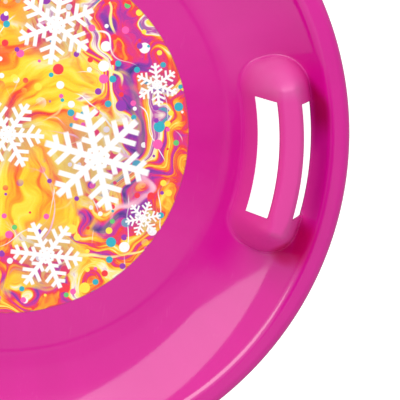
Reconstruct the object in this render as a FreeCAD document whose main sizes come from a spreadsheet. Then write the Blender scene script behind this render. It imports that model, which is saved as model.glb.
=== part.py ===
import FreeCAD, Part
import math
import os
import Sketcher

# Saucer sled: a shallow round pan with a flat floor, a concave wall, a rolled rim
# and two hollow hand grips, with a round printed label let into the floor.
# Frame: origin in the middle of the underside, +Z up, grips on the +X and -X sides.
# Lengths in millimetres, angles in degrees.

doc = FreeCAD.newDocument("saucer_sled")
sheet = doc.addObject("Spreadsheet::Sheet", "Sizes")

DRIVING = [
    ("rim_radius", 300.0, "outer radius over the turned-down lip"),
    ("floor_radius", 190.0, "radius of the flat floor"),
    ("skin", 2.6, "thickness of the moulding"),
    ("wall_arc", 117.0, "radius of the concave wall, upper side"),
    ("wall_angle", 49.28, "slope where the wall meets the rim"),
    ("bend_radius", 9.0, "inner bend of the rim, upper side"),
    ("band_drop", 6.0, "outward fall of the rim band"),
    ("shoulder_radius", 9.0, "outer shoulder of the rim, upper side"),
    ("lip_length", 10.0, "straight part of the turned-down lip"),
    ("label_radius", 160.8, "printed label"),
    ("label_thick", 0.2, "printed label"),
    ("label_gap", 0.05, "gap round the label"),
    ("grip_radius", 244.4, "centre line of the grips"),
    ("grip_top", 77.0, "top of the grips above the ground"),
    ("dome_half_top", 7.8, "half width of the dome at its top"),
    ("dome_half_base", 36.0, "half width of the dome at ground level"),
    ("dome_end_top", 67.0, "half length of the dome at its top"),
    ("dome_end_base", 94.8, "half length of the dome at ground level"),
    ("dome_corner_top", 6.0, "plan corner radius at the top"),
    ("dome_corner_base", 34.5, "plan corner radius at ground level"),
    ("dome_inset", 2.8, "level distance from outer to inner flank"),
    ("crown_radius", 4.5, "rounding of the dome's top edge"),
    ("grip_half", 10.45, "half width of the grip bar"),
    ("sill_radius", 219.4, "inner edge of the inner window"),
    ("window_half", 51.3, "half length of both windows"),
]


class Dim:
    """A length with its number and the formula that drives it."""

    def __init__(self, text, value):
        self.text = text
        self.value = value

    @staticmethod
    def of(other):
        return other if isinstance(other, Dim) else Dim(repr(float(other)), float(other))

    def __add__(self, other):
        o = Dim.of(other)
        return Dim("(%s + %s)" % (self.text, o.text), self.value + o.value)

    def __sub__(self, other):
        o = Dim.of(other)
        return Dim("(%s - %s)" % (self.text, o.text), self.value - o.value)

    def __mul__(self, other):
        o = Dim.of(other)
        return Dim("(%s * %s)" % (self.text, o.text), self.value * o.value)

    def __truediv__(self, other):
        o = Dim.of(other)
        return Dim("(%s / %s)" % (self.text, o.text), self.value / o.value)

    def __neg__(self):
        return Dim("(0 - %s)" % self.text, -self.value)


def dsin(d):
    return Dim("sin(%s)" % d.text, math.sin(math.radians(d.value)))


def dcos(d):
    return Dim("cos(%s)" % d.text, math.cos(math.radians(d.value)))


def droot(d):
    return Dim("sqrt(%s)" % d.text, math.sqrt(d.value))


size = {}
for row, (alias, value, note) in enumerate(DRIVING, start=1):
    sheet.set("A%d" % row, note)
    sheet.set("B%d" % row, repr(value))
    sheet.setAlias("B%d" % row, alias)
    size[alias] = Dim("Sizes.%s" % alias, value)
doc.recompute()


def plane(body, role):
    for feature in body.Origin.OriginFeatures:
        if feature.Role == role:
            return feature
    raise RuntimeError(role)


def new_body(name):
    body = doc.addObject("PartDesign::Body", name)
    body.Label = name
    return body


def new_sketch(body, name, role, height=None):
    sk = body.newObject("Sketcher::SketchObject", name)
    sk.AttachmentSupport = [(plane(body, role), "")]
    sk.MapMode = "FlatFace"
    if height is not None:
        sk.AttachmentOffset = FreeCAD.Placement(
            FreeCAD.Vector(0, 0, height.value), FreeCAD.Rotation())
        sk.setExpression("AttachmentOffset.Base.z", height.text)
    return sk


def bind(sk, kind, args, dim):
    index = sk.addConstraint(Sketcher.Constraint(kind, *args, abs(dim.value)))
    sk.setExpression("Constraints[%d]" % index,
                     dim.text if dim.value >= 0 else "(0 - %s)" % dim.text)


def fix_point(sk, geo, pos, x, y):
    for kind, dim, axis in (("DistanceX", x, -2), ("DistanceY", y, -1)):
        if abs(dim.value) < 1e-9:
            sk.addConstraint(Sketcher.Constraint("PointOnObject", geo, pos, axis))
        elif dim.value > 0:
            bind(sk, kind, (-1, 1, geo, pos), dim)
        else:
            bind(sk, kind, (geo, pos, -1, 1), dim)


def outline(sk, points, arcs):
    """Closed outline through the points; arcs[i] is None for a straight edge from
    point i to the next, or (radius, turn) with turn +1 anticlockwise, -1 clockwise."""
    count = len(points)
    ends = []
    for i in range(count):
        p = FreeCAD.Vector(points[i][0].value, points[i][1].value, 0)
        q = FreeCAD.Vector(points[(i + 1) % count][0].value, points[(i + 1) % count][1].value, 0)
        if arcs[i] is None:
            geo = sk.addGeometry(Part.LineSegment(p, q), False)
            ends.append((geo, 1, 2))
            continue
        radius, turn = arcs[i]
        chord = q - p
        half = chord.Length / 2
        lift = math.sqrt(max(radius.value ** 2 - half ** 2, 0.0))
        left = FreeCAD.Vector(-chord.y, chord.x, 0)
        left.normalize()
        middle = (p + q) * 0.5
        centre = middle + left * (lift * turn)
        a = math.atan2(p.y - centre.y, p.x - centre.x)
        b = math.atan2(q.y - centre.y, q.x - centre.x)
        if turn < 0:
            a, b = b, a
        while b < a:
            b += 2 * math.pi
        circle = Part.Circle(centre, FreeCAD.Vector(0, 0, 1), radius.value)
        geo = sk.addGeometry(Part.ArcOfCircle(circle, a, b), False)
        ends.append((geo, 1, 2) if turn > 0 else (geo, 2, 1))
    for i in range(count):
        g0, _, out = ends[i]
        g1, start, _ = ends[(i + 1) % count]
        sk.addConstraint(Sketcher.Constraint("Coincident", g0, out, g1, start))
    for i in range(count):
        fix_point(sk, ends[i][0], ends[i][1], points[i][0], points[i][1])
        if arcs[i] is not None:
            bind(sk, "Radius", (ends[i][0],), arcs[i][0])


def revolve(body, sk, name):
    feat = body.newObject("PartDesign::Revolution", name)
    feat.Profile = sk
    feat.ReferenceAxis = (plane(body, "Z_Axis"), [""])
    feat.Angle = 360
    doc.recompute()
    return feat


zero = Dim("0", 0.0)
skin = size["skin"]

# Section of the pan. Points on the upper side carry _t, on the underside _u.
slope = size["wall_angle"]
wall_up = size["wall_arc"]
wall_under = wall_up + skin
hub_r = size["floor_radius"]
hub_z = wall_up + skin
wall_t = (hub_r + wall_up * dsin(slope), hub_z - wall_up * dcos(slope))
wall_u = (hub_r + wall_under * dsin(slope), hub_z - wall_under * dcos(slope))

bend_up = size["bend_radius"]
bend_under = bend_up - skin
bend_c = (wall_t[0] + bend_up * dsin(slope), wall_t[1] - bend_up * dcos(slope))
fall = size["band_drop"]
bend_t = (bend_c[0] + bend_up * dsin(fall), bend_c[1] + bend_up * dcos(fall))
bend_u = (bend_c[0] + bend_under * dsin(fall), bend_c[1] + bend_under * dcos(fall))

turn_up = size["shoulder_radius"]
turn_under = turn_up - skin
turn_r = size["rim_radius"] - turn_up
band_run = (turn_r + turn_up * dsin(fall)) - bend_t[0]
turn_z = bend_t[1] - band_run * dsin(fall) / dcos(fall) - turn_up * dcos(fall)
band_t = (turn_r + turn_up * dsin(fall), turn_z + turn_up * dcos(fall))
band_u = (turn_r + turn_under * dsin(fall), turn_z + turn_under * dcos(fall))
lip_z = turn_z - size["lip_length"]
lip_t = (size["rim_radius"], turn_z)
lip_u = (size["rim_radius"] - skin, turn_z)

# Flat floor with a shallow seat for the label.
floor = new_body("pan_floor")
sk = new_sketch(floor, "floor_section", "XZ_Plane")
seat_r = size["label_radius"] + size["label_gap"]
seat_z = skin - size["label_thick"]
outline(sk,
        [(zero, zero), (hub_r, zero), (hub_r, skin), (seat_r, skin), (seat_r, seat_z), (zero, seat_z)],
        [None] * 6)
revolve(floor, sk, "floor_disc")

# Printed film, flush with the floor.
label = new_body("centre_label")
sk = new_sketch(label, "label_section", "XZ_Plane")
outline(sk,
        [(zero, seat_z), (size["label_radius"], seat_z), (size["label_radius"], skin), (zero, skin)],
        [None] * 4)
revolve(label, sk, "label_film")


def dome_outline(sk, half, end, corner):
    """Plan of a dome at one level: a bar bent round the pan's axis, with rounded corners."""
    r_in = size["grip_radius"] - half
    r_out = size["grip_radius"] + half
    y_c = end - corner
    x_in = droot((r_in + corner) * (r_in + corner) - y_c * y_c)
    x_out = droot((r_out - corner) * (r_out - corner) - y_c * y_c)
    k_in = r_in / (r_in + corner)
    k_out = r_out / (r_out - corner)
    points = [
        (x_out * k_out, -(y_c * k_out)),
        (x_out * k_out, y_c * k_out),
        (x_out, end),
        (x_in, end),
        (x_in * k_in, y_c * k_in),
        (x_in * k_in, -(y_c * k_in)),
        (x_in, -end),
        (x_out, -end),
    ]
    arcs = [(r_out, 1), (corner, 1), None, (corner, 1), (r_in, -1), (corner, 1), None, (corner, 1)]
    outline(sk, points, arcs)


def loft(body, kind, name, sections):
    feat = body.newObject("PartDesign::" + kind, name)
    feat.Profile = sections[0]
    feat.Sections = sections[1:]
    feat.Ruled = True
    doc.recompute()
    return feat


def dome_level(height, inset):
    """Half width, half length and corner radius of the dome at a height, drawn in by an inset."""
    share = height / size["grip_top"]

    def between(name):
        base = size["dome_%s_base" % name]
        return base + (size["dome_%s_top" % name] - base) * share - inset

    return between("half"), between("end"), between("corner")


def dome_sections(body, prefix, steps):
    """Plans of the dome from the ground up; steps of the quarter round at the top edge."""
    crown = size["crown_radius"]
    levels = [(zero, zero)]
    for step in range(steps):
        angle = math.radians(30.0 * step)
        levels.append((size["grip_top"] - crown * (1 - math.sin(angle)), crown * (1 - math.cos(angle))))
    sections = []
    for i, (height, inset) in enumerate(levels):
        sk = new_sketch(body, "%s_level_%d" % (prefix, i), "XY_Plane", height if i else None)
        dome_outline(sk, *dome_level(height, inset))
        sections.append(sk)
    return sections


# Concave wall, open where the two domes stand in it.
wall = new_body("pan_wall")
sk = new_sketch(wall, "wall_section", "XZ_Plane")
outline(sk,
        [(hub_r, zero), wall_u, wall_t, (hub_r, skin)],
        [(wall_under, 1), None, (wall_up, -1), None])
ring = revolve(wall, sk, "wall_ring")
ring_volume = ring.Shape.Volume
opening = loft(wall, "SubtractiveLoft", "dome_opening", dome_sections(wall, "opening", 1))
one_volume = opening.Shape.Volume
pair = wall.newObject("PartDesign::PolarPattern", "dome_openings")
pair.Originals = [opening]
pair.Axis = (plane(wall, "Z_Axis"), [""])
pair.Angle = 360
pair.Occurrences = 2
wall.Tip = pair
doc.recompute()
pair_volume = pair.Shape.Volume
if not (pair_volume < one_volume - 1000 < ring_volume - 2000):
    raise RuntimeError("the dome openings were not cut")

# Rolled rim: inner bend, band, outer shoulder and turned-down lip.
rim = new_body("rolled_rim")
sk = new_sketch(rim, "rim_section", "XZ_Plane")
outline(sk,
        [wall_t, wall_u, bend_u, band_u, lip_u, (size["rim_radius"] - skin, lip_z),
         (size["rim_radius"], lip_z), lip_t, band_t, bend_t],
        [None, (bend_under, -1), None, (turn_under, -1), None, None, None, (turn_up, 1), None, (bend_up, 1)])
revolve(rim, sk, "rim_ring")


def trim_outlines(zone, sk):
    """Plan area taken off the whole grip to leave one of its zones: bar, sill or dome end."""
    half = size["window_half"]
    near = Dim("150", 150.0)
    far = Dim("320", 320.0)
    wide = Dim("130", 130.0)

    def rectangle(y0, y1):
        outline(sk, [(near, y0), (far, y0), (far, y1), (near, y1)], [None] * 4)

    if zone == "plus_end":
        rectangle(-wide, half)
    elif zone == "minus_end":
        rectangle(-half, wide)
    elif zone == "bar":
        rectangle(-wide, wide)
        r0 = size["grip_radius"] - size["grip_half"]
        r1 = size["grip_radius"] + size["grip_half"]
        x0 = droot(r0 * r0 - half * half)
        x1 = droot(r1 * r1 - half * half)
        outline(sk, [(x1, -half), (x1, half), (x0, half), (x0, -half)],
                [(r1, 1), None, (r0, -1), None])
    else:
        r0 = size["sill_radius"]
        x0 = droot(r0 * r0 - half * half)
        outline(sk, [(near, -wide), (far, -wide), (far, wide), (near, wide),
                     (near, half), (x0, half), (x0, -half), (near, -half)],
                [None, None, None, None, None, (r0, -1), None, None])


def grip_zone(name, zone, turn):
    """One zone of a hollow grip: a dome standing in the wall with a window on each side of its bar."""
    body = new_body(name)
    dome = loft(body, "AdditiveLoft", name + "_solid", dome_sections(body, name, 4))

    # Everything below the underside of the wall is taken off.
    below = new_sketch(body, name + "_below_wall", "XZ_Plane")
    outline(below,
            [(hub_r, zero), (hub_r, Dim("-5", -5.0)), (size["rim_radius"], Dim("-5", -5.0)),
             (size["rim_radius"], wall_u[1]), wall_u],
            [None, None, None, None, (wall_under, -1)])
    before = dome.Shape.Volume
    groove = body.newObject("PartDesign::Groove", name + "_foot")
    groove.Profile = below
    groove.ReferenceAxis = (plane(body, "Z_Axis"), [""])
    groove.Angle = 360
    doc.recompute()
    if groove.Shape.Volume > before - 1000:
        raise RuntimeError("the foot of the dome was not cut")

    # Hollow from below, with flanks parallel to the outside.
    inset = size["dome_inset"]
    rise = size["grip_top"] - skin
    in_low = new_sketch(body, name + "_hollow_base", "XY_Plane")
    dome_outline(in_low, *dome_level(zero, inset))
    in_high = new_sketch(body, name + "_hollow_top", "XY_Plane", rise)
    dome_outline(in_high, *dome_level(rise, inset))
    before = groove.Shape.Volume
    hollow = loft(body, "SubtractiveLoft", name + "_hollow", [in_low, in_high])
    if hollow.Shape.Volume > before - 1000:
        raise RuntimeError("the dome was not hollowed")

    # Outside of the zone is cut straight down: for the bar and the sill that is
    # where the windows are.
    trim = new_sketch(body, name + "_trim", "XY_Plane")
    trim_outlines(zone, trim)
    before = hollow.Shape.Volume
    pocket = body.newObject("PartDesign::Pocket", name + "_zone")
    pocket.Profile = trim
    pocket.Type = "ThroughAll"
    pocket.Midplane = True
    doc.recompute()
    if not 1000 < pocket.Shape.Volume < before - 1000:
        raise RuntimeError("the zone was not cut out")
    body.Placement = FreeCAD.Placement(
        FreeCAD.Vector(0, 0, 0), FreeCAD.Rotation(FreeCAD.Vector(0, 0, 1), turn))
    doc.recompute()
    return body


grips = [
    grip_zone("right_grip_bar", "bar", 0),
    grip_zone("right_grip_sill", "sill", 0),
    grip_zone("right_grip_front_dome", "plus_end", 0),
    grip_zone("right_grip_rear_dome", "minus_end", 0),
    grip_zone("left_grip_bar", "bar", 180),
    grip_zone("left_grip_sill", "sill", 180),
    grip_zone("left_grip_front_dome", "minus_end", 180),
    grip_zone("left_grip_rear_dome", "plus_end", 180),
]

doc.recompute()
for obj in doc.Objects:
    if "Invalid" in obj.State or "Error" in obj.State:
        raise RuntimeError("%s: %s" % (obj.Name, obj.State))

parts = [floor, label, wall, rim] + grips
for part in parts:
    shape = part.Shape
    if shape.isNull() or not shape.isValid() or len(shape.Solids) != 1:
        raise RuntimeError("%s: bad shape" % part.Label)

os.makedirs("parts", exist_ok=True)
for part in parts:
    part.Shape.exportStep(os.path.join("parts", part.Label + ".step"))
    box = part.Shape.BoundBox
    print("%s: %.1f cm3, %d faces, x %.1f..%.1f y %.1f..%.1f z %.1f..%.1f" % (
        part.Label, part.Shape.Volume / 1000, len(part.Shape.Faces),
        box.XMin, box.XMax, box.YMin, box.YMax, box.ZMin, box.ZMax))
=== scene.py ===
import math

import bmesh
import bpy
import numpy as np
from mathutils import Matrix, Vector


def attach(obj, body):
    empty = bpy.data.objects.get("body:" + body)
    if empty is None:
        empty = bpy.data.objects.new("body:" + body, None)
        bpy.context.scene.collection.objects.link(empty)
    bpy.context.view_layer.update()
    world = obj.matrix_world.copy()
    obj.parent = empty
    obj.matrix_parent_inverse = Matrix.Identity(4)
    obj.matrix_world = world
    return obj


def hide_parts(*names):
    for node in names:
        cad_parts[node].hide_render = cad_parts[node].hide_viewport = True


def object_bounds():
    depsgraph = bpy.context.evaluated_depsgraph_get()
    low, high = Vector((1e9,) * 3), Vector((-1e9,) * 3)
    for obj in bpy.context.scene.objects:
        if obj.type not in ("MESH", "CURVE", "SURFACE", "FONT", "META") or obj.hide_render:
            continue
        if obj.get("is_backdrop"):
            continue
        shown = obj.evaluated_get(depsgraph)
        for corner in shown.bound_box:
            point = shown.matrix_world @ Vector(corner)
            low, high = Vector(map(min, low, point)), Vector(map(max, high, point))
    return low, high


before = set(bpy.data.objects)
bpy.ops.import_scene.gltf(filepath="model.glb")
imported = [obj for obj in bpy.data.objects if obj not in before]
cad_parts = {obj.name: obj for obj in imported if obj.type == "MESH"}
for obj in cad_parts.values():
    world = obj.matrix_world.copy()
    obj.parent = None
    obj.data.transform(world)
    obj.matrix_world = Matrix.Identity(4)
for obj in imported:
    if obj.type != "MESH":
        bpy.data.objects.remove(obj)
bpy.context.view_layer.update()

scene = bpy.context.scene
MM = 0.001

# ---------------------------------------------------------------- shape of the moulding, in mm

FLOOR_R = 190.0
SKIN = 2.6
WALL_TOP = 117.0
WALL_UNDER = WALL_TOP + SKIN
HUB_Z = WALL_UNDER
SLOPE = math.radians(49.28)
BEND = 9.0
FALL = math.radians(6.0)
SHOULDER = 9.0
RIM_R = 299.9
LIP = 10.0
GRIP_R = 244.4
GRIP_TOP = 77.0
SILL_IN = 219.4
BAR_IN = 233.95
BAR_OUT = 254.85
SILL_OUT = 266.65
WINDOW = 51.3
LABEL_R = 160.8
SEAT_R = 160.85
SEAT_Z = 2.4


def smooth(lo, hi, x):
    s = np.clip((x - lo) / (hi - lo), 0.0, 1.0)
    return s * s * (3.0 - 2.0 * s)


def soft_min(a, b, k):
    h = np.maximum(k - np.abs(a - b), 0.0) / k
    return np.minimum(a, b) - h * h * k / 4.0


def soft_max(a, b, k):
    h = np.maximum(k - np.abs(a - b), 0.0) / k
    return np.maximum(a, b) + h * h * k / 4.0


def wall_height(r, radius):
    out = np.maximum(r - FLOOR_R, 0.0)
    return HUB_Z - np.sqrt(np.maximum(radius * radius - out * out, 0.0))


def rounded_box(rho, t, half, end, corner):
    qx = np.abs(rho) - half + corner
    qy = np.abs(t) - end + corner
    outside = np.hypot(np.maximum(qx, 0.0), np.maximum(qy, 0.0))
    return outside + np.minimum(np.maximum(qx, qy), 0.0) - corner


def flank_height(rho, t, inset):
    """Height at which the dome's drafted flank passes over each point."""
    lo = np.full(rho.shape, -60.0)
    hi = np.full(rho.shape, 130.0)
    for _ in range(34):
        mid = (lo + hi) / 2.0
        half = np.maximum(34.8 - 0.3350 * mid - inset, 0.2)
        end = 95.4 - 0.3480 * mid - inset
        corner = np.clip(37.0 - 31.0 * mid / GRIP_TOP - inset, 0.8, np.maximum(half * 0.98, 0.8))
        inside = rounded_box(rho, t, half, end, corner) < 0.0
        lo = np.where(inside, mid, lo)
        hi = np.where(inside, hi, mid)
    return (lo + hi) / 2.0


def grip_heights(r, phi):
    """Upper and lower skin of wall and grip over the plan, phi counted from the nearest grip."""
    rho = r - GRIP_R
    t = GRIP_R * phi
    y = r * np.sin(phi)
    top = wall_height(r, WALL_TOP)
    under = wall_height(r, WALL_UNDER)
    near = np.abs(t) < 150.0
    k = 1.6 + 9.0 * smooth(-6.0, -23.0, rho)
    cut = 6.0 * smooth(18.0, 22.0, rho) * (1.0 - smooth(47.0, 53.0, np.abs(y)))
    crown = rho * rho / 150.0
    round_off = 11.0 + 9.0 * smooth(46.0, 68.0, np.abs(t))
    outer = soft_min(flank_height(rho, t, 0.0), GRIP_TOP - crown, round_off) - cut
    inner = soft_min(flank_height(rho, t, 2.8), GRIP_TOP - SKIN - crown, round_off) - cut
    top = np.where(near, soft_max(top, outer, k), top)
    under = np.where(near, soft_max(under, inner, k), under)
    return top, np.minimum(under, top - 2.0)


def span(a, b, n):
    return list(np.linspace(a, b, n + 1)[1:])


# Lines round the pan: fine across the grips, with lines that run straight along the window ends.
t_grip = [-122.0]
for a, b, n in ((-122.0, -99.0, 10), (-99.0, -51.69, 56), (-51.69, 51.69, 60),
                (51.69, 99.0, 56), (99.0, 122.0, 10)):
    t_grip += span(a, b, n)
t_grip = np.array(t_grip)
edge_phi = 122.0 / GRIP_R
plain = np.linspace(edge_phi, math.pi - edge_phi, 65)[1:-1]
line_t = np.concatenate([t_grip, np.full(plain.size, np.nan)] * 2)
line_phi = np.concatenate([t_grip / GRIP_R, plain, math.pi + t_grip / GRIP_R, math.pi + plain])
line_turn = np.concatenate([np.zeros(t_grip.size + plain.size), np.full(t_grip.size + plain.size, math.pi)])
LINES = line_phi.size


def ring_phi(r):
    """Angle of every line on the ring of radius r."""
    t = np.nan_to_num(line_t, nan=0.0)
    y = GRIP_R * np.sin(t / GRIP_R)
    straight = np.arcsin(np.clip(y / max(r, 1.0), -1.0, 1.0))
    w = np.maximum(smooth(60.0, 112.0, np.abs(t)), 1.0 - smooth(200.0, 212.0, r))
    bent = (1.0 - w) * straight + w * (t / GRIP_R) + line_turn
    return np.where(np.isnan(line_t), line_phi, bent)


wall_end = FLOOR_R + WALL_TOP * math.sin(SLOPE)
plan = [190.0]
for b, n in ((200.0, 6), (SILL_IN, 22), (BAR_IN, 18), (BAR_OUT, 28), (SILL_OUT, 16), (wall_end, 14)):
    plan += span(plan[-1], b, n)
floor_in = [6.0, 30.0, 60.0, 90.0, 120.0, 145.0, 157.0, 160.3]
floor_out = [161.3, 164.0, 168.0, 173.0, 178.0, 184.0]


def arc(cx, cz, radius, a0, a1, n, first=False):
    angles = np.radians(np.linspace(a0, a1, n + 1))
    if not first:
        angles = angles[1:]
    return [(cx + radius * math.cos(a), cz + radius * math.sin(a)) for a in angles]


def run(p, q, n):
    return [(p[0] + (q[0] - p[0]) * s, p[1] + (q[1] - p[1]) * s) for s in span(0.0, 1.0, n)]


bend_r = FLOOR_R + (WALL_TOP + BEND) * math.sin(SLOPE)
bend_z = HUB_Z - (WALL_TOP + BEND) * math.cos(SLOPE)
turn_r = RIM_R - SHOULDER
band_run = turn_r + SHOULDER * math.sin(FALL) - bend_r - BEND * math.sin(FALL)
turn_z = bend_z + BEND * math.cos(FALL) - band_run * math.tan(FALL) - SHOULDER * math.cos(FALL)
a_wall = 90.0 + math.degrees(SLOPE)
a_band = 90.0 - math.degrees(FALL)
lip_end = turn_z - LIP + SKIN / 2.0


def polar(cx, cz, radius, angle):
    return cx + radius * math.cos(math.radians(angle)), cz + radius * math.sin(math.radians(angle))


rim = arc(bend_r, bend_z, BEND, a_wall, a_band, 16)
rim += run(rim[-1], polar(turn_r, turn_z, SHOULDER, a_band), 4)
rim += arc(turn_r, turn_z, SHOULDER, a_band, 0.0, 18)
rim += run(rim[-1], (RIM_R, lip_end), 4)
rim += arc(RIM_R - SKIN / 2.0, lip_end, SKIN / 2.0, 0.0, -180.0, 8)
rim += run(rim[-1], (RIM_R - SKIN, turn_z), 4)
rim += arc(turn_r, turn_z, SHOULDER - SKIN, 0.0, a_band, 10)
rim += run(rim[-1], polar(bend_r, bend_z, BEND - SKIN, a_band), 4)
rim += arc(bend_r, bend_z, BEND - SKIN, a_band, a_wall, 10)

ring_r, ring_z, tops, unders = [], [], {}, {}


def add_ring(r, z):
    ring_r.append(r)
    ring_z.append(z)


for r in floor_in:
    add_ring(r, SEAT_Z)
seat_edge = len(ring_r)
add_ring(SEAT_R, SEAT_Z)
add_ring(SEAT_R, SKIN)
for r in floor_out:
    add_ring(r, SKIN)
for r in plan:
    tops[round(r, 3)] = len(ring_r)
    add_ring(r, None)
for r, z in rim:
    add_ring(r, z)
for r in reversed(plan):
    unders[round(r, 3)] = len(ring_r)
    add_ring(r, None)
for r in reversed([6.0, 30.0, 60.0, 90.0, 120.0, 145.0, 160.0, 170.0, 180.0]):
    add_ring(r, 0.0)

RINGS = len(ring_r)
R = np.array(ring_r)
PHI = np.array([ring_phi(r) for r in ring_r])
RR = np.repeat(R[:, None], LINES, axis=1)
near_phi = PHI - math.pi * np.round(PHI / math.pi)
TOP, UNDER = grip_heights(np.clip(RR, 0.0, wall_end), near_phi)
Z = np.zeros_like(RR)
first_under = min(unders.values())
for i in range(RINGS):
    if ring_z[i] is not None:
        Z[i] = ring_z[i]
    elif i < first_under:
        Z[i] = TOP[i]
    else:
        Z[i] = UNDER[i]
X = RR * np.cos(PHI)
Y = RR * np.sin(PHI)

verts = np.stack([X, Y, Z], axis=2).reshape(-1, 3) * MM
top_mid = len(verts)
under_mid = top_mid + 1
verts = np.vstack([verts, [[0.0, 0.0, SEAT_Z * MM], [0.0, 0.0, 0.0]]])


def at(i, j):
    return i * LINES + j % LINES


start_low = int(np.argmin(np.abs(t_grip + 51.69)))
start_high = int(np.argmin(np.abs(t_grip - 51.69)))
half_turn = t_grip.size + plain.size
windows = []
for offset in (0, half_turn):
    for r0, r1 in ((SILL_IN, BAR_IN), (BAR_OUT, SILL_OUT)):
        windows.append((round(r0, 3), round(r1, 3), start_low + offset, start_high + offset))


def in_window(i, j):
    for r0, r1, j0, j1 in windows:
        if j0 <= j < j1:
            if tops[r0] <= i < tops[r1] or unders[r1] <= i < unders[r0]:
                return True
    return False


faces = []
for i in range(RINGS - 1):
    for j in range(LINES):
        if not in_window(i, j):
            faces.append((at(i, j), at(i + 1, j), at(i + 1, j + 1), at(i, j + 1)))
for j in range(LINES):
    faces.append((top_mid, at(0, j), at(0, j + 1)))
    faces.append((under_mid, at(RINGS - 1, j + 1), at(RINGS - 1, j)))

# Walls of the windows, from the upper skin to the lower one.
window_edges = set()


def window_wall(top_loop, under_loop):
    count = len(top_loop)
    for a in range(count):
        b = (a + 1) % count
        faces.append((top_loop[a], top_loop[b], under_loop[b], under_loop[a]))
        for loop in (top_loop, under_loop):
            window_edges.add(tuple(sorted((loop[a], loop[b]))))


corner_edges = set()
for r0, r1, j0, j1 in windows:
    up = [at(tops[r0], j) for j in range(j0, j1)]
    low = [at(unders[r0], j) for j in range(j0, j1)]
    ups = list(range(tops[r0], tops[r1]))
    lows = list(range(unders[r0], unders[r1], -1))
    up += [at(i, j1) for i in ups]
    low += [at(i, j1) for i in lows]
    up += [at(tops[r1], j) for j in range(j1, j0, -1)]
    low += [at(unders[r1], j) for j in range(j1, j0, -1)]
    up += [at(i, j0) for i in range(tops[r1], tops[r0], -1)]
    low += [at(i, j0) for i in range(unders[r1], unders[r0])]
    window_wall(up, low)
    for i_up, i_low in ((tops[r0], unders[r0]), (tops[r1], unders[r1])):
        for j in (j0, j1):
            corner_edges.add(tuple(sorted((at(i_up, j), at(i_low, j)))))

mesh = bpy.data.meshes.new("pan")
mesh.from_pydata(verts.tolist(), [], faces)
mesh.update()
bm = bmesh.new()
bm.from_mesh(mesh)
bmesh.ops.delete(bm, geom=[v for v in bm.verts if not v.link_faces], context="VERTS")
bmesh.ops.recalc_face_normals(bm, faces=bm.faces)
bm.verts.ensure_lookup_table()
bm.to_mesh(mesh)
bm.free()

# Softened window edges and a crisp seat for the label.
place = {}
co = np.empty(len(mesh.vertices) * 3)
mesh.vertices.foreach_get("co", co)
co = co.reshape(-1, 3)
key = {tuple(np.round(p * 1e6).astype(int)): n for n, p in enumerate(co)}


def index_of(old):
    return key[tuple(np.round(verts[old].astype(np.float32).astype(float) * 1e6).astype(int))]


soft_edges = {tuple(sorted((index_of(a), index_of(b)))) for a, b in window_edges | corner_edges}
weights = np.zeros(len(mesh.edges), np.float32)
for n, e in enumerate(mesh.edges):
    if tuple(sorted(e.vertices)) in soft_edges:
        weights[n] = 1.0
mesh.attributes.new("bevel_weight_edge", "FLOAT", "EDGE").data.foreach_set("value", weights)
seat_r = np.hypot(co[:, 0], co[:, 1])
on_seat = (np.abs(seat_r - SEAT_R * MM) < 1e-6) & (co[:, 2] > 0.002)
sharp = np.array([bool(on_seat[e.vertices[0]] and on_seat[e.vertices[1]]) for e in mesh.edges])
mesh.attributes.new("sharp_edge", "BOOLEAN", "EDGE").data.foreach_set("value", sharp)
mesh.polygons.foreach_set("use_smooth", np.ones(len(mesh.polygons), bool))

pan = bpy.data.objects.new("pan", mesh)
scene.collection.objects.link(pan)
bevel = pan.modifiers.new("window_edges", "BEVEL")
bevel.limit_method = "WEIGHT"
bevel.width = 0.0006
bevel.segments = 3

# Printed film in the seat.
label_rings = [4.0] + list(np.linspace(12.0, 156.0, 13)) + [159.0, 160.2, 160.62]
lab_lines = 256
lab_verts, lab_faces = [(0.0, 0.0, SKIN)], []
profile = [(r, SKIN) for r in label_rings] + [(160.74, SKIN - 0.02), (LABEL_R, SKIN - 0.07),
                                              (LABEL_R, SEAT_Z + 0.01), (150.0, SEAT_Z + 0.01)]
for r, z in profile:
    for j in range(lab_lines):
        a = 2.0 * math.pi * j / lab_lines
        lab_verts.append((r * math.cos(a), r * math.sin(a), z))
for j in range(lab_lines):
    lab_faces.append((0, 1 + j, 1 + (j + 1) % lab_lines))
for i in range(len(profile) - 1):
    for j in range(lab_lines):
        a = 1 + i * lab_lines
        k = (j + 1) % lab_lines
        lab_faces.append((a + j, a + lab_lines + j, a + lab_lines + k, a + k))
last = 1 + (len(profile) - 1) * lab_lines
lab_faces.append(tuple(last + j for j in reversed(range(lab_lines))))
lab_mesh = bpy.data.meshes.new("centre_print")
lab_mesh.from_pydata([(x * MM, y * MM, z * MM) for x, y, z in lab_verts], [], lab_faces)
lab_mesh.update()
lab_mesh.polygons.foreach_set("use_smooth", np.ones(len(lab_mesh.polygons), bool))
label = bpy.data.objects.new("centre_print", lab_mesh)
scene.collection.objects.link(label)


# ---------------------------------------------------------------- materials

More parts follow.
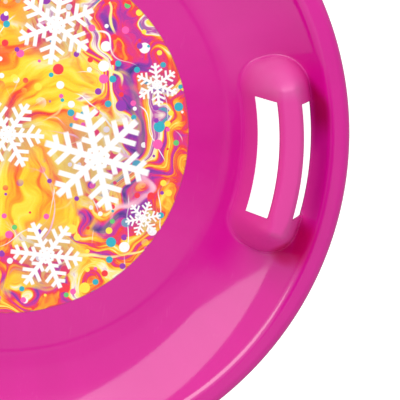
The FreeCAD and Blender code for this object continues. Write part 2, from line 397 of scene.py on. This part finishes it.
class Nodes:
    """Short forms for the nodes of one material."""

    def __init__(self, tree):
        self.tree = tree
        self.links = tree.links

    def new(self, kind, **values):
        node = self.tree.nodes.new(kind)
        for name, value in values.items():
            setattr(node, name, value)
        return node

    def feed(self, socket, value):
        if isinstance(value, bpy.types.NodeSocket):
            self.links.new(value, socket)
        else:
            socket.default_value = value

    def math(self, op, a, b=None, c=None):
        node = self.new("ShaderNodeMath", operation=op)
        for socket, value in zip(node.inputs, (a, b, c)):
            if value is not None:
                self.feed(socket, value)
        return node.outputs[0]

    def add(self, a, b):
        return self.math("ADD", a, b)

    def sub(self, a, b):
        return self.math("SUBTRACT", a, b)

    def mul(self, a, b):
        return self.math("MULTIPLY", a, b)

    def step(self, x, lo, hi):
        """0 below lo, 1 above hi, smooth between; falls instead where lo is above hi."""
        node = self.new("ShaderNodeMapRange", interpolation_type="SMOOTHSTEP")
        self.feed(node.inputs["Value"], x)
        if lo < hi:
            values = (lo, hi, 0.0, 1.0)
        else:
            values = (hi, lo, 1.0, 0.0)
        for name, value in zip(("From Min", "From Max", "To Min", "To Max"), values):
            node.inputs[name].default_value = value
        return node.outputs["Result"]

    def scale_to(self, x, lo, hi, a, b):
        node = self.new("ShaderNodeMapRange")
        self.feed(node.inputs["Value"], x)
        for name, value in zip(("From Min", "From Max", "To Min", "To Max"), (lo, hi, a, b)):
            node.inputs[name].default_value = value
        return node.outputs["Result"]

    def join(self, x, y, z):
        node = self.new("ShaderNodeCombineXYZ")
        for socket, value in zip(node.inputs, (x, y, z)):
            self.feed(socket, value)
        return node.outputs[0]

    def split(self, vector):
        node = self.new("ShaderNodeSeparateXYZ")
        self.links.new(vector, node.inputs[0])
        return node.outputs

    def noise(self, vector, scale, detail=2.0, rough=0.5, distortion=0.0):
        node = self.new("ShaderNodeTexNoise")
        self.links.new(vector, node.inputs["Vector"])
        node.inputs["Scale"].default_value = scale
        node.inputs["Detail"].default_value = detail
        node.inputs["Roughness"].default_value = rough
        node.inputs["Distortion"].default_value = distortion
        return node.outputs["Fac"]

    def ramp(self, x, stops, kind="LINEAR"):
        node = self.new("ShaderNodeValToRGB")
        node.color_ramp.interpolation = kind
        parts = node.color_ramp.elements
        while len(parts) < len(stops):
            parts.new(0.5)
        for part, (position, colour) in zip(parts, stops):
            part.position = position
            part.color = (*colour, 1.0)
        self.links.new(x, node.inputs[0])
        return node.outputs["Color"]

    def mix(self, share, a, b, kind="MIX"):
        node = self.new("ShaderNodeMix", data_type="RGBA", blend_type=kind)
        self.feed(node.inputs["Factor"], share)
        self.feed(node.inputs[6], a if isinstance(a, bpy.types.NodeSocket) else (*a, 1.0))
        self.feed(node.inputs[7], b if isinstance(b, bpy.types.NodeSocket) else (*b, 1.0))
        return node.outputs[2]

    def bump(self, height, strength, distance, normal=None):
        node = self.new("ShaderNodeBump")
        node.inputs["Strength"].default_value = strength
        node.inputs["Distance"].default_value = distance
        self.links.new(height, node.inputs["Height"])
        if normal is not None:
            self.links.new(normal, node.inputs["Normal"])
        return node.outputs["Normal"]


def new_material(name):
    material = bpy.data.materials.new(name)
    material.use_nodes = True
    material.node_tree.nodes.clear()
    nodes = Nodes(material.node_tree)
    shader = nodes.new("ShaderNodeBsdfPrincipled")
    out = nodes.new("ShaderNodeOutputMaterial")
    nodes.links.new(shader.outputs[0], out.inputs["Surface"])
    return material, nodes, shader


# Glossy moulded plastic: faint flow streaks from the middle, orange peel and fine rubbing marks.
plastic, n, shader = new_material("pan_plastic")
coords = n.new("ShaderNodeTexCoord").outputs["Object"]
px, py, pz = n.split(coords)
radius = n.math("SQRT", n.add(n.mul(px, px), n.mul(py, py)))
safe = n.math("MAXIMUM", radius, 0.001)
flow = n.noise(n.join(n.mul(n.math("DIVIDE", px, safe), 3.0), n.mul(n.math("DIVIDE", py, safe), 3.0),
                      n.mul(radius, 2.2)), 2.6, 3.0, 0.55)
cloud = n.noise(coords, 7.0, 3.0, 0.5)
shade = n.add(n.mul(flow, 0.45), n.mul(cloud, 0.55))
colour = n.ramp(shade, [(0.30, (0.556, 0.0018, 0.241)), (0.52, (0.583, 0.0024, 0.255)), (0.74, (0.609, 0.0030, 0.269))])
rub = n.noise(n.join(n.mul(px, 1.0), n.mul(py, 0.12), pz), 420.0, 2.0, 0.6, 0.4)
rub_marks = n.mul(n.step(rub, 0.60, 0.72), n.step(n.noise(coords, 16.0, 2.0), 0.50, 0.68))
colour = n.mix(n.mul(rub_marks, 0.10), colour, (0.70, 0.10, 0.38))
along = n.mul(n.math("ARCTAN2", py, n.math("ABSOLUTE", px)), 0.2444)
off = n.sub(radius, 0.2444)
qx = n.sub(n.math("ABSOLUTE", n.add(off, 0.006)), 0.005)
qy = n.sub(n.math("ABSOLUTE", along), 0.066)
dist = n.sub(n.math("SQRT", n.add(n.math("POWER", n.math("MAXIMUM", qx, 0.0), 2.0),
                                   n.math("POWER", n.math("MAXIMUM", qy, 0.0), 2.0))), 0.024)
matt = n.step(dist, 0.004, -0.006)
colour = n.mix(matt, colour, n.mix(n.step(cloud, 0.35, 0.65), (0.606, 0.026, 0.264), (0.644, 0.032, 0.282)))
# Painted shadow and painted light: the trough behind each grip end is painted a deeper colour with lowered specular,
# standing in for the shade the grip ends cast there, and the ledge beside the bar is painted paler.
slant = n.add(along, n.mul(n.sub(off, 0.025), 1.4))
north_shadow = n.mul(n.step(along, 0.012, 0.036), n.step(slant, 0.071, 0.055))
south_shadow = n.mul(n.mul(n.step(along, -0.046, -0.061), n.step(along, -0.093, -0.076)), n.mul(n.step(off, 0.0195, 0.0275), n.step(off, 0.0430, 0.0320)))
south_shadow_tail = n.add(n.math("POWER", n.mul(n.sub(off, 0.021), 1.0 / 0.013), 2.0), n.math("POWER", n.mul(n.add(along, 0.080), 1.0 / 0.011), 2.0))
south_shadow = n.math("MAXIMUM", south_shadow, n.mul(n.step(south_shadow_tail, 1.5, 0.1), 0.8))
trough_shadow = n.mul(n.step(off, 0.0215, 0.0275), n.step(off, 0.0405, 0.0330))
ledge_light = n.mul(n.mul(n.step(off, 0.0190, 0.0220), n.step(off, 0.0330, 0.0250)), n.mul(n.step(along, 0.018, 0.000), n.step(along, -0.058, -0.048)))
# Painted light: the ledge beside the bar is painted paler.
colour = n.mix(n.mul(ledge_light, 0.65), colour, (0.790, 0.026, 0.350))
# Painted shadow in the trough beside the +y grip end.
colour = n.mix(n.mul(n.mul(trough_shadow, north_shadow), 0.84), colour, (0.335, 0.0006, 0.052))
# Painted shadow in the trough beside the -y grip end and along that end's foot.
colour = n.mix(n.mul(south_shadow, 0.75), colour, (0.515, 0.0008, 0.074))
# Specular lowered where the painted shadow lies, standing in for a darker reflection there.
shadow_dull = n.math("MAXIMUM", n.mul(n.mul(n.step(off, 0.0130, 0.0210), n.step(off, 0.0405, 0.0330)), north_shadow), south_shadow)
n.links.new(n.sub(0.5, n.mul(shadow_dull, 0.43)), shader.inputs["Specular IOR Level"])
# Painted highlight: the forward (+y) ends of the grips are painted paler, mottled by noise, standing in for the light
# that falls on them.
end_highlight = n.mul(n.step(along, 0.052, 0.067), n.step(n.math("ABSOLUTE", n.add(off, 0.008)), 0.029, 0.006))
end_highlight = n.mul(n.mul(end_highlight, matt), n.scale_to(n.noise(coords, 60.0, 3.0, 0.6), 0.3, 0.7, 0.75, 1.0))
colour = n.mix(n.mul(end_highlight, 0.66), colour, (0.640, 0.128, 0.362))
n.links.new(colour, shader.inputs["Base Color"])
gloss = n.add(n.scale_to(n.noise(coords, 30.0, 4.0, 0.6), 0.3, 0.7, 0.065, 0.090), n.mul(rub_marks, 0.06))
gloss = n.add(n.add(gloss, n.mul(matt, 0.37)), n.mul(n.mul(n.step(dist, 0.018, 0.002), n.step(off, 0.0, 0.020)), 0.10))
n.links.new(gloss, shader.inputs["Roughness"])
shader.inputs["IOR"].default_value = 1.5
# Two opposite stretches of the rim's inner bend are burnished.
side_on = n.math("ABSOLUTE", n.add(n.mul(px, 0.766), n.mul(py, 0.643)))
burnish = n.mul(n.step(radius, 0.2782, 0.2790), n.step(radius, 0.2850, 0.2825))
burnish = n.mul(burnish, n.step(side_on, 0.150, 0.110))
n.links.new(burnish, shader.inputs["Coat Weight"])
shader.inputs["Coat Roughness"].default_value = 0.04
shader.inputs["Coat IOR"].default_value = 1.5
peel = n.noise(coords, 520.0, 1.0, 0.4)
waves = n.noise(coords, 45.0, 2.0, 0.5)
height = n.add(n.mul(peel, 0.12), n.mul(waves, 0.88))
n.links.new(n.bump(height, 0.22, 0.00012), shader.inputs["Normal"])
pan.data.materials.append(plastic)

# Printed film: swirled strokes with light trails, dots and snow crystals.
film, n, shader = new_material("label_print")
coords = n.new("ShaderNodeTexCoord").outputs["Object"]
lx, ly, lz = n.split(coords)
flat = n.join(n.mul(lx, 1.0 / 0.1608), n.mul(ly, 1.0 / 0.1608), 0.0)
x, y, _ = n.split(flat)
rad = n.math("SQRT", n.add(n.mul(x, x), n.mul(y, y)))
ang = n.math("ARCTAN2", y, x)
wobble = n.sub(n.noise(flat, 2.4, 2.0, 0.5), 0.5)


def strokes(turn_rate, sway, fine, drift, seed):
    """Brush strokes that sweep round the middle; fine sets their number, drift how they change outward."""
    s = n.add(n.add(ang, n.mul(rad, turn_rate)), n.mul(wobble, sway))
    return n.noise(n.join(n.mul(n.math("COSINE", s), fine), n.add(n.mul(n.math("SINE", s), fine), seed),
                          n.mul(rad, drift)), 1.9, 4.0, 0.56, 0.25)


WHITE = (0.93, 0.92, 0.90)
warm = n.ramp(strokes(1.9, 1.9, 1.5, 1.1, 3.0), [
    (0.26, (0.60, 0.02, 0.10)), (0.34, (0.86, 0.05, 0.015)), (0.41, (0.93, 0.22, 0.008)), (0.47, (0.95, 0.46, 0.01)),
    (0.53, (0.96, 0.62, 0.015)), (0.60, (0.97, 0.74, 0.05)), (0.67, (0.97, 0.84, 0.30)), (0.74, (0.95, 0.40, 0.02))])
vivid = n.ramp(strokes(-1.3, 2.6, 2.3, 1.6, 11.0), [
    (0.27, (0.035, 0.025, 0.20)), (0.34, (0.24, 0.03, 0.36)), (0.40, (0.70, 0.02, 0.26)), (0.455, (0.85, 0.04, 0.03)),
    (0.50, (0.95, 0.38, 0.01)), (0.545, (0.97, 0.76, 0.08)), (0.60, (0.95, 0.88, 0.70)), (0.66, (0.50, 0.05, 0.36)),
    (0.72, (0.03, 0.34, 0.46)), (0.79, (0.10, 0.52, 0.20))])
edge_mix = n.step(n.add(rad, n.mul(n.sub(strokes(0.7, 2.2, 1.1, 2.0, 21.0), 0.5), 1.5)), 0.52, 0.78)
art = n.mix(edge_mix, warm, vivid)

# Light trails: thin bright arcs, broken up along their length.
for rate, pitch, seed, tint in ((2.6, 9.0, 31.0, WHITE), (-2.1, 7.0, 43.0, (0.98, 0.86, 0.30)), (0.6, 5.0, 57.0, (0.98, 0.55, 0.66))):
    bend = n.sub(n.noise(n.join(x, y, seed), 1.5, 2.0, 0.5), 0.5)
    wave = n.math("ABSOLUTE", n.math("SINE", n.mul(n.add(n.add(ang, n.mul(rad, rate)), n.mul(bend, 2.8)), pitch / 2.0)))
    thin = n.step(wave, 0.085, 0.02)
    broken = n.step(n.noise(n.join(n.mul(x, 1.0), n.mul(y, 1.0), seed + 5.0), 3.1, 2.0, 0.5), 0.50, 0.60)
    art = n.mix(n.mul(n.mul(thin, broken), n.step(rad, 0.16, 0.40)), art, tint)

# Confetti: round dots of mixed size and colour.
for scale, seed, keep, size_of_dot in ((9.0, 1.7, 0.55, 0.27), (15.0, 8.3, 0.62, 0.30)):
    cells = n.new("ShaderNodeTexVoronoi", voronoi_dimensions="2D", feature="F1")
    cells.inputs["Scale"].default_value = scale
    cells.inputs["Randomness"].default_value = 0.85
    n.links.new(n.join(n.add(x, seed), n.sub(y, seed), 0.0), cells.inputs["Vector"])
    pick, tone, grow = n.split(cells.outputs["Color"])
    limit = n.mul(n.add(n.mul(grow, 0.7), 0.3), size_of_dot)
    dot = n.step(n.sub(cells.outputs["Distance"], limit), 0.03, -0.01)
    dot = n.mul(dot, n.step(pick, keep, keep + 0.01))
    dot_colour = n.ramp(tone, [(0.0, (0.90, 0.03, 0.05)), (0.18, (0.97, 0.78, 0.06)), (0.36, WHITE), (0.52, (0.30, 0.03, 0.42)),
                               (0.66, (0.02, 0.42, 0.52)), (0.80, (0.95, 0.10, 0.42)), (0.92, (0.12, 0.58, 0.16))], "CONSTANT")
    art = n.mix(n.mul(dot, n.step(rad, 0.22, 0.34)), art, dot_colour)


def crystal(cx, cy, size, turn):
    """Mask of a six-armed snow crystal with three pairs of side arms, and of the soft shade round it."""
    u = n.mul(n.sub(x, cx), 1.0 / size)
    v = n.mul(n.sub(y, cy), 1.0 / size)
    rho = n.math("SQRT", n.add(n.mul(u, u), n.mul(v, v)))
    fold = n.math("PINGPONG", n.add(n.math("ARCTAN2", v, u), turn + 4.0 * math.pi), math.pi / 6.0)
    p = n.mul(rho, n.math("COSINE", fold))
    q = n.mul(rho, n.math("SINE", fold))
    mask = n.mul(n.step(q, 0.075, 0.045), n.step(p, 1.02, 0.97))
    for root, length in ((0.30, 0.22), (0.52, 0.34), (0.76, 0.22)):
        ahead = n.sub(p, root)
        off = n.math("ABSOLUTE", n.sub(n.mul(ahead, math.sin(math.pi / 3.0)), n.mul(q, 0.5)))
        along = n.add(n.mul(ahead, 0.5), n.mul(q, math.sin(math.pi / 3.0)))
        arm = n.mul(n.step(off, 0.062, 0.036), n.step(along, length + 0.03, length - 0.02))
        mask = n.math("MAXIMUM", mask, n.mul(arm, n.step(along, -0.01, 0.01)))
    hexagon = n.math("ABSOLUTE", n.sub(p, 0.17))
    mask = n.math("MAXIMUM", mask, n.step(hexagon, 0.055, 0.03))
    return mask, n.step(rho, 1.25, 0.35)


for cx, cy, size, turn in ((0.50, -0.10, 0.30, 0.22), (0.22, 0.62, 0.22, 0.60), (0.26, -0.66, 0.20, 0.05),
                           (0.80, 0.33, 0.12, 0.35), (0.78, -0.42, 0.10, 0.80), (-0.48, 0.20, 0.28, 0.45),
                           (-0.36, -0.52, 0.20, 0.15), (-0.62, -0.20, 0.11, 0.70), (-0.30, 0.72, 0.13, 0.30), (0.0, 0.0, 0.20, 0.0)):
    flake, shade_round = crystal(cx, cy, size, turn)
    art = n.mix(n.mul(shade_round, 0.40), art, (0.20, 0.03, 0.30))
    art = n.mix(flake, art, WHITE)

# Ink on film: fine screen grain, a slightly uneven coat and a thin dark cut edge.
grain = n.noise(flat, 160.0, 2.0, 0.6)
art = n.mix(n.scale_to(grain, 0.35, 0.65, 0.0, 0.10), art, (0.10, 0.03, 0.05), "MULTIPLY")
art = n.mix(n.mul(n.step(rad, 0.9940, 0.9970), 0.55), art, (0.30, 0.05, 0.12))
n.links.new(art, shader.inputs["Base Color"])
coat = n.add(n.scale_to(n.noise(flat, 9.0, 4.0, 0.6), 0.3, 0.7, 0.20, 0.30), n.mul(grain, 0.05))
n.links.new(coat, shader.inputs["Roughness"])
shader.inputs["IOR"].default_value = 1.48
n.links.new(n.bump(n.add(n.mul(n.noise(flat, 12.0, 2.0, 0.5), 0.8), n.mul(grain, 0.2)), 0.20, 0.00010), shader.inputs["Normal"])
label.data.materials.append(film)

for piece, slot in ((pan, "pan_plastic"), (label, "label_print")):
    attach(piece, "root")
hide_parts(*[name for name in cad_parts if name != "centre_label"])
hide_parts("centre_label")

# ---------------------------------------------------------------- stage, light and camera

floor_mesh = bpy.data.meshes.new("studio_floor")
side = 14.0
floor_mesh.from_pydata([(-side, -side, 0.0), (side, -side, 0.0), (side, side, 0.0), (-side, side, 0.0)], [], [(0, 1, 2, 3)])
floor = bpy.data.objects.new("studio_floor", floor_mesh)
floor.location.z = -0.0002
scene.collection.objects.link(floor)
paper = bpy.data.materials.new("studio_paper")
paper.use_nodes = True
pn = Nodes(paper.node_tree)
paper.node_tree.nodes.clear()
sheen = pn.new("ShaderNodeBsdfDiffuse")
sheen.inputs["Color"].default_value = (0.50, 0.50, 0.50, 1.0)
glow = pn.new("ShaderNodeEmission")
pn.links.new(pn.mul(pn.new("ShaderNodeLightPath").outputs["Is Camera Ray"], 0.95), glow.inputs["Strength"])
both = pn.new("ShaderNodeAddShader")
pn.links.new(sheen.outputs[0], both.inputs[0])
pn.links.new(glow.outputs[0], both.inputs[1])
pn.links.new(both.outputs[0], pn.new("ShaderNodeOutputMaterial").inputs["Surface"])
floor_mesh.materials.append(paper)
floor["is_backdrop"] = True


def softbox(name, centre, towards, up, width, tall, radiance):
    light = bpy.data.lights.new(name, "AREA")
    light.shape = "RECTANGLE"
    light.size = width
    light.size_y = tall
    light.energy = radiance * width * tall * math.pi
    ob = bpy.data.objects.new(name, light)
    back = (-Vector(towards)).normalized()
    right = Vector(up).cross(back).normalized()
    top = back.cross(right)
    ob.matrix_world = Matrix(((right.x, top.x, back.x, centre[0]), (right.y, top.y, back.y, centre[1]),
                              (right.z, top.z, back.z, centre[2]), (0, 0, 0, 1)))
    ob.visible_camera = False
    scene.collection.objects.link(ob)
    return ob


box_along = Vector((0.3763, 0.8399, -0.3907)).normalized()
box_down = Vector((-0.7276, 0.0806, -0.6810))
box_down = (box_down - box_along * box_down.dot(box_along)).normalized()
box_mid = Vector((-0.695, 0.412, 1.868)) + box_along * 0.95 + box_down * 0.612
softbox("key_softbox", box_mid, box_down.cross(box_along), -box_down, 1.90, 1.224, 2.6)

world = bpy.data.worlds.new("studio")
scene.world = world
world.use_nodes = True
wn = Nodes(world.node_tree)
world.node_tree.nodes.clear()
sky = wn.new("ShaderNodeBackground")
sky.inputs["Strength"].default_value = 1.0
wout = wn.new("ShaderNodeOutputWorld")
wn.links.new(sky.outputs[0], wout.inputs["Surface"])
ray = wn.new("ShaderNodeTexCoord").outputs["Generated"]
wx, wy, wz = wn.split(ray)
tilt = wn.mul(wn.math("ARCCOSINE", wz), 180.0 / math.pi)


def sector(middle, half, soft):
    """1 within half the width of a compass sector, fading over soft degrees on each side of its edge."""
    m = math.radians(middle)
    across = wn.sub(wn.mul(wy, math.cos(m)), wn.mul(wx, math.sin(m)))
    ahead = wn.add(wn.mul(wx, math.cos(m)), wn.mul(wy, math.sin(m)))
    off = wn.mul(wn.math("ABSOLUTE", wn.math("ARCTAN2", across, ahead)), 180.0 / math.pi)
    return wn.step(off, half + soft, half - soft)


# Soft panels all round, with a dark gap that starts beside the top light and widens to the west.
gap_mid = wn.sub(-0.106, wn.mul(wx, 0.12))
gap_half = wn.add(wn.mul(wn.math("MAXIMUM", wn.sub(0.01, wx), 0.0), 0.43), 0.014)
gap = wn.step(wn.sub(wn.math("ABSOLUTE", wn.sub(wy, gap_mid)), gap_half), 0.025, -0.014)
gap = wn.mul(gap, wn.mul(wn.step(wx, 0.20, 0.13), wn.step(tilt, 48.0, 16.0)))
gap = wn.mul(gap, wn.sub(0.86, wn.mul(wn.step(wn.math("ABSOLUTE", wn.sub(wx, 0.040)), 0.075, 0.045), 0.24)))
cap = wn.step(tilt, 12.0, 7.0)
ring = wn.step(tilt, 7.0, 12.0)
high = wn.mul(ring, wn.step(tilt, 50.0, 30.0))
low = wn.mul(ring, wn.step(tilt, 30.0, 50.0))
south_west = sector(231.5, 23.5, 18.0)
south = sector(292.5, 37.5, 18.0)
east = sector(355.0, 25.0, 12.0)
PANELS = [
    (wn.mul(high, sector(96.0, 76.0, 10.0)), 1.00),
    (wn.mul(high, sector(190.0, 18.0, 10.0)), 0.60),
    (wn.mul(low, sector(42.5, 22.5, 10.0)), 1.30),
    (wn.mul(low, sector(90.0, 25.0, 10.0)), 1.80),
    (wn.mul(low, sector(143.5, 28.5, 10.0)), 1.00),
    (wn.mul(ring, south_west), 1.25),
    (wn.mul(high, south), 1.05),
    (wn.mul(low, south), 0.90),
    (wn.mul(high, east), 0.75),
    (wn.mul(low, east), 0.65),
    (cap, 0.84),
    (wn.mul(wn.mul(cap, wn.step(tilt, 2.0, 5.0)), sector(320.0, 45.0, 20.0)), 0.20),
]
level = None
for mask, glow_level in PANELS:
    part = wn.mul(mask, glow_level)
    level = part if level is None else wn.add(level, part)
level = wn.mul(level, wn.sub(1.0, gap))
wn.links.new(wn.join(level, level, level), sky.inputs["Color"])

ax, ay, roll, focal = 0.1374562, -0.1137039, 0.0800778, 3082.5002
rx = Matrix.Rotation(ax, 3, "X")
ry = Matrix.Rotation(ay, 3, "Y")
rz = Matrix.Rotation(roll, 3, "Z")
rows = rz @ rx @ ry @ Matrix(((1, 0, 0), (0, -1, 0), (0, 0, -1)))
cam_data = bpy.data.cameras.new("camera")
cam_data.sensor_width = 36.0
cam_data.lens = focal * 36.0 / 400.0
cam_data.clip_start = 0.1
cam_data.clip_end = 60.0
camera = bpy.data.objects.new("camera", cam_data)
right, up, back = rows[0], -rows[1], -rows[2]
camera.matrix_world = Matrix(((right.x, up.x, back.x, -0.134265), (right.y, up.y, back.y, 0.329592),
                              (right.z, up.z, back.z, 2.711498), (0, 0, 0, 1)))
scene.collection.objects.link(camera)
scene.camera = camera
scene.view_settings.view_transform = "Standard"
scene.view_settings.look = "None"

low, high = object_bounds()
